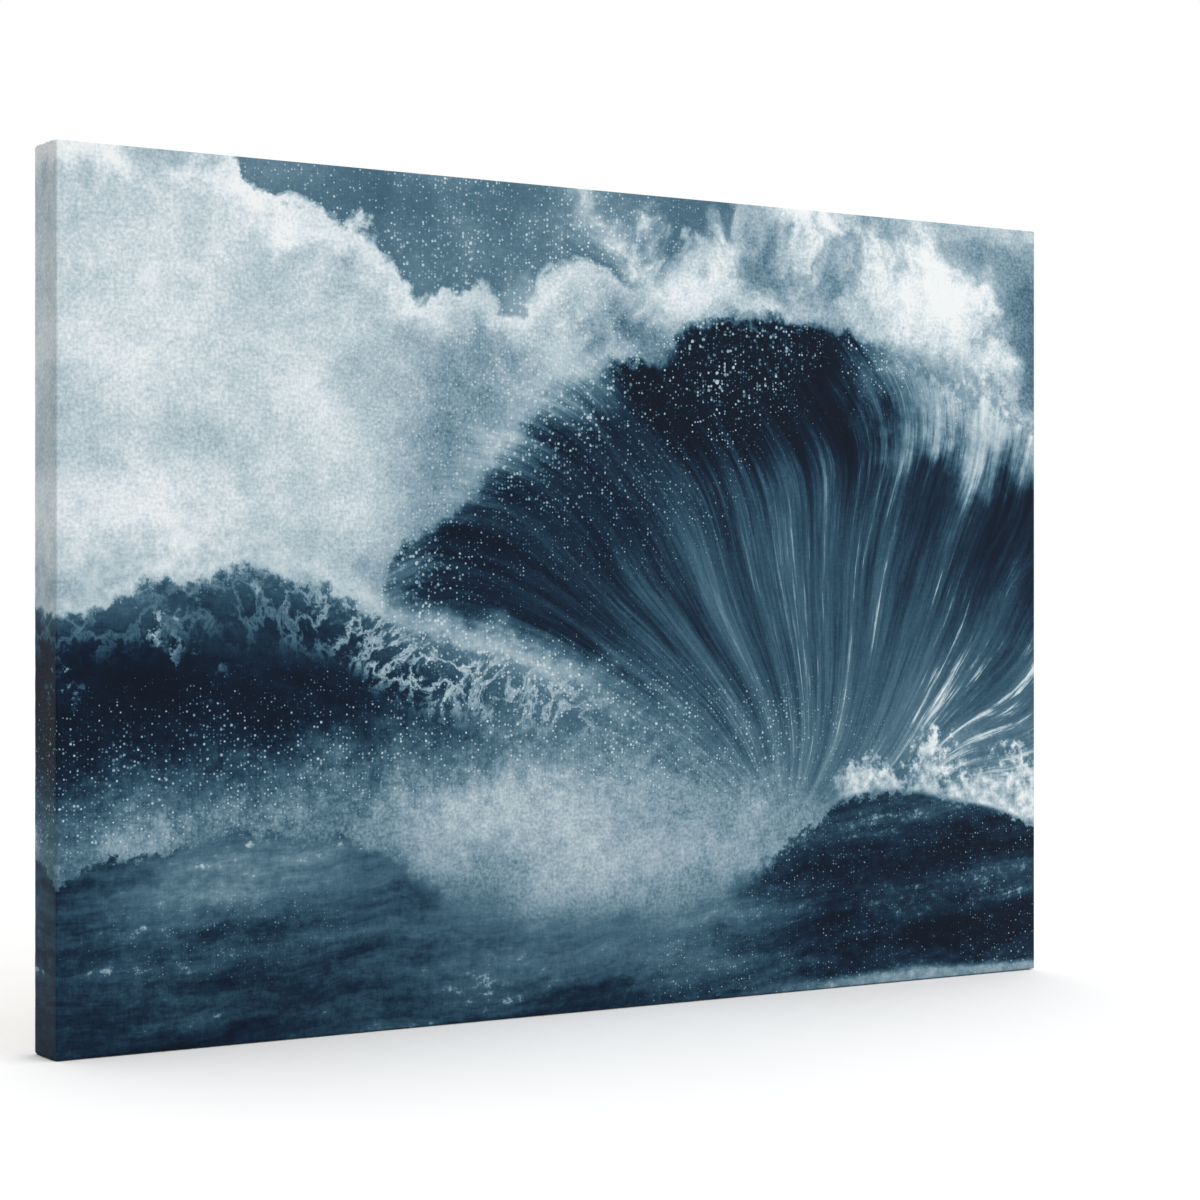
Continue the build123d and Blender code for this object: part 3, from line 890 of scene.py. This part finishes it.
def wood(name, length_axis, pith, knots, ring, shades, rough, fleck):
    """A finish for one board. length_axis is 0 for a board along X and 2 for an upright one."""
    finish, begin, shader = new_finish(name, Specular_IOR_Level=0.3)
    place = begin.node("ShaderNodeTexCoord", None, None, "Object")
    parts = place.node("ShaderNodeSeparateXYZ", None, {"Vector": place})
    along, depth, width = parts.other("X"), parts.other("Y"), parts.other("Z")
    if length_axis == 2:
        along, width = width, along
    waves = grain(point(along * 2.2 + pith[0] * 30, width * 9, depth * 9), 1.0, 3.0, 0.5, "3D")
    from_pith, sideways = width - pith[0] + waves * 0.016, depth - pith[1] + waves * 0.008
    radius = (from_pith * from_pith + sideways * sideways) ** 0.5
    heart = None
    for knot_along, knot_width in knots:
        gap, aside = (along - knot_along) / KNOT_LONG, (width - knot_width) / KNOT_WIDE
        near_knot = smooth((gap * gap + aside * aside) ** 0.5, 1.6, 0.0)
        radius += near_knot * KNOT_PUSH
        heart = near_knot if heart is None else most(heart, near_knot)
    year = (radius / ring + waves * 1.5).math("FRACT")
    late = smooth(year, 0.25, 0.86) * smooth(year, 1.0, 0.90)
    late *= 0.65 + grain(point(radius * 260, sideways * 6), 1.0, 2.0, 0.5) * 1.6
    fibres = grain(point(along * 35, width * 1500, depth * 1500), 1.0, 3.0, 0.65, "3D")
    silk = grain(point(along * 180 + 3, width * 700, depth * 700), 1.0, 2.0, 0.5, "3D")
    blotch = grain(point(along * 6 + 11, width * 20, depth * 20), 1.0, 3.0, 0.5, "3D")
    shade = 0.27 + late * 0.40 + fibres * 0.45 + blotch * 0.45 + smooth(silk, 0.16, 0.30) * fleck
    board = ramp(shade, [(0.05 + 0.3 * i, colour(code)) for i, code in enumerate(shades)])
    if heart is not None:
        core = smooth(heart + fibres * 0.1, 0.52, 0.80)
        resin = ramp(fibres + 0.5, [(0.2, colour("3d2413")), (0.9, colour("7b4a26"))])
        board = mix_colours(board, resin, core * 0.85)
    feed(shader, "Base Color", board)
    feed(shader, "Roughness", rough + fibres * 0.25 - late * 0.08)
    planer = ((along / PLANER_MARK + waves) * math.tau).math("SINE")
    raise_surface(shader, fibres * 0.8 + late * 0.35 + planer * 0.10 + 0.5, WOOD_BUMP)
    return finish


PINE = ("eddcb8", "dfc393", "cba36b", "a87a48")
BEECH = ("e9d2ae", "d9b88e", "c59c72", "a8805c")
PINE_YEAR, BEECH_YEAR = 0.0026, 0.0014  # width of a yearly ring
# For each bar: its length axis, its pith's (width, depth), and its knots' (place along, place across).
boards = {
    "top": (0, (2 * HALF_Z - 0.055, 0.030), [(-0.11, 0.478), (0.236, 0.488)]),
    "bottom": (0, (0.060, -0.045), [(0.150, 0.022)]),
    "left": (2, (-HALF_X + 0.070, 0.038), [(0.335, -0.336)]),
    "right": (2, (HALF_X + 0.020, 0.060), [(0.130, 0.322), (0.272, 0.341)]),
}
for side, (length_axis, pith, knots) in boards.items():
    finish = wood(f"pine {side}", length_axis, pith, knots, PINE_YEAR, PINE, 0.62, 0.0)
    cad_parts[f"stretcher_bar_{side}"].data.materials.clear()
    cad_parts[f"stretcher_bar_{side}"].data.materials.append(finish)


print("bars of pine:", ", ".join(boards))

# %% [markdown]
# ## Keys
# The keys are sawn from beech: closer rings, and the short dark flecks that tell beech from pine.

# %% Keys
keys = sorted(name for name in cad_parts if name.startswith("key_"))
for number, name in enumerate(keys):
    key_low, key_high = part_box(name)
    middle = (key_low + key_high) / 2
    upright = name.endswith("upright")
    across_middle = middle.x if upright else middle.z
    pith = (across_middle + 0.03 + 0.004 * number, 0.02 - 0.006 * number)
    length_axis = 2 if upright else 0
    finish = wood(f"beech {number + 1}", length_axis, pith, [], BEECH_YEAR, BEECH, 0.72, 0.5)
    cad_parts[name].data.materials.clear()
    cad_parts[name].data.materials.append(finish)
print(len(boards), "bars and", len(keys), "keys")

# %% [markdown]
# ## Steel
# Staples, straps, rings and screws are plated steel. Plating is never quite even, so the colour and gloss
# drift a little, and handling leaves fine scratches in all directions.

# %% Steel
STEEL_BUMP = 0.00004


def steel(name, bright, dull, rough, scratched):
    """Plated steel between two colours. scratched is how deep its scratches look."""
    finish, begin, shader = new_finish(name, Metallic=1.0)
    place = begin.node("ShaderNodeTexCoord", None, None, "Object")
    parts = place.node("ShaderNodeSeparateXYZ", None, {"Vector": place})
    x, y, z = parts.other("X"), parts.other("Y"), parts.other("Z")
    cloudy = grain(place, 260.0, 4.0, 0.6, "3D")
    slanting = point(x * 300 + z * 2600, y * 300, z * 300 - x * 2600)
    upright = point(x * 2600, y * 900, z * 200)
    scratches = most(
        smooth(grain(slanting, 1.0, 2.0, 0.6, "3D"), 0.16, 0.26),
        smooth(grain(upright, 1.0, 2.0, 0.6, "3D"), 0.18, 0.27),
    )
    feed(shader, "Base Color", ramp(0.55 + cloudy * 1.1, [(0.2, colour(dull)), (0.8, colour(bright))]))
    feed(shader, "Roughness", rough + cloudy * 0.22 + scratches * 0.15)
    raise_surface(shader, cloudy * 0.4 - scratches * scratched + 0.5, STEEL_BUMP)
    return finish


zinc = steel("zinc-plated wire", "c9cbcc", "8f9294", 0.38, 0.5)
pressed = steel("nickel-plated strap", "cdc9c0", "97938a", 0.30, 0.9)
bright_wire = steel("nickel-plated ring", "d8d5cf", "a29e97", 0.20, 0.6)
screw_plate = steel("zinc-plated screw", "d0cdbf", "96917f", 0.34, 0.8)
finishes = {
    "staples_": zinc, "hanger_strap_": pressed, "hanger_ring_": bright_wire, "hanger_screw_": screw_plate,
}
for name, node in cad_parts.items():
    for beginning, finish in finishes.items():
        if name.startswith(beginning):
            node.data.materials.clear()
            node.data.materials.append(finish)
print("steel finishes:", ", ".join(finish.name for finish in finishes.values()))

# %% [markdown]
# ## Floor
# A pale studio floor, with just enough unevenness not to look like a void. The canvas stands on its two
# lower folds, so the floor is level with the lowest of them.

# %% Floor
FLOOR_HALF = 40.0  # so large that its edge is never seen
floor_level = min(vert.z for vert in verts)
floor_mesh = bpy.data.meshes.new("floor")
corners = [
    (across * FLOOR_HALF, back * FLOOR_HALF, floor_level)
    for across, back in ((-1, -1), (1, -1), (1, 1), (-1, 1))
]
floor_mesh.from_pydata(corners, [], [(0, 1, 2, 3)])
floor = bpy.data.objects.new("floor", floor_mesh)
bpy.context.scene.collection.objects.link(floor)

floor_finish, start, floor_shader = new_finish("pale floor", Specular_IOR_Level=0.1)
floor_place = start.node("ShaderNodeTexCoord", None, None, "Object")
cloudy = grain(floor_place, 3.0, 4.0, 0.5, "3D")
feed(floor_shader, "Base Color", ramp(cloudy + 0.5, [(0.0, colour("e6e6e6")), (1.0, colour("ececec"))]))
feed(floor_shader, "Roughness", 0.85 + cloudy * 0.1)
floor_mesh.materials.append(floor_finish)
print(f"floor at z = {floor_level:.4f}")

# %% [markdown]
# ## Light
# The light is that of a white studio, brightest overhead and dimmest on the canvas's left, where the wrapped
# side should fall into soft shade. Lamps alone could do it, but an uneven sky of light is softer and has no
# edges. The backdrop that is seen past the canvas stays plain white. One large lamp in front and to the
# right lights the print.

# %% Studio air
world = bpy.data.worlds.new("studio")
world.use_nodes = True
bpy.context.scene.world = world
air = Wire(world.node_tree)
direction = air.node("ShaderNodeTexCoord", None, None, "Generated")
parts = direction.node("ShaderNodeSeparateXYZ", None, {"Vector": direction})
to_right, to_sky = parts.other("X"), parts.other("Z")
bright = 0.26 + smooth(to_right, -0.75, 0.15) * 0.74 + smooth(to_sky, 0.1, 0.9) * 0.72
seen = air.node("ShaderNodeLightPath", None, None, "Is Camera Ray")
background = world.node_tree.nodes["Background"]
background.inputs["Color"].default_value = (1.0, 1.0, 1.0, 1.0)
feed(background, "Strength", blend(bright, 1.0, seen))
print(len(air.tree.nodes), "nodes light the studio")

# %% Lamp
def soft_lamp(name, place, size, power):
    """A square lamp that points at the middle of the canvas."""
    lamp = bpy.data.lights.new(name, "AREA")
    lamp.size, lamp.energy = size, power
    holder = bpy.data.objects.new(name, lamp)
    holder.location = place
    away = Vector(place) - Vector((0.0, 0.0, MIDDLE_Z))
    holder.rotation_euler = away.to_track_quat("Z", "Y").to_euler()
    bpy.context.scene.collection.objects.link(holder)


soft_lamp("front lamp", place=(0.9, -2.6, 1.5), size=1.8, power=32.0)
bpy.context.scene.view_settings.view_transform = "Standard"
print("seen with the view transform", bpy.context.scene.view_settings.view_transform)
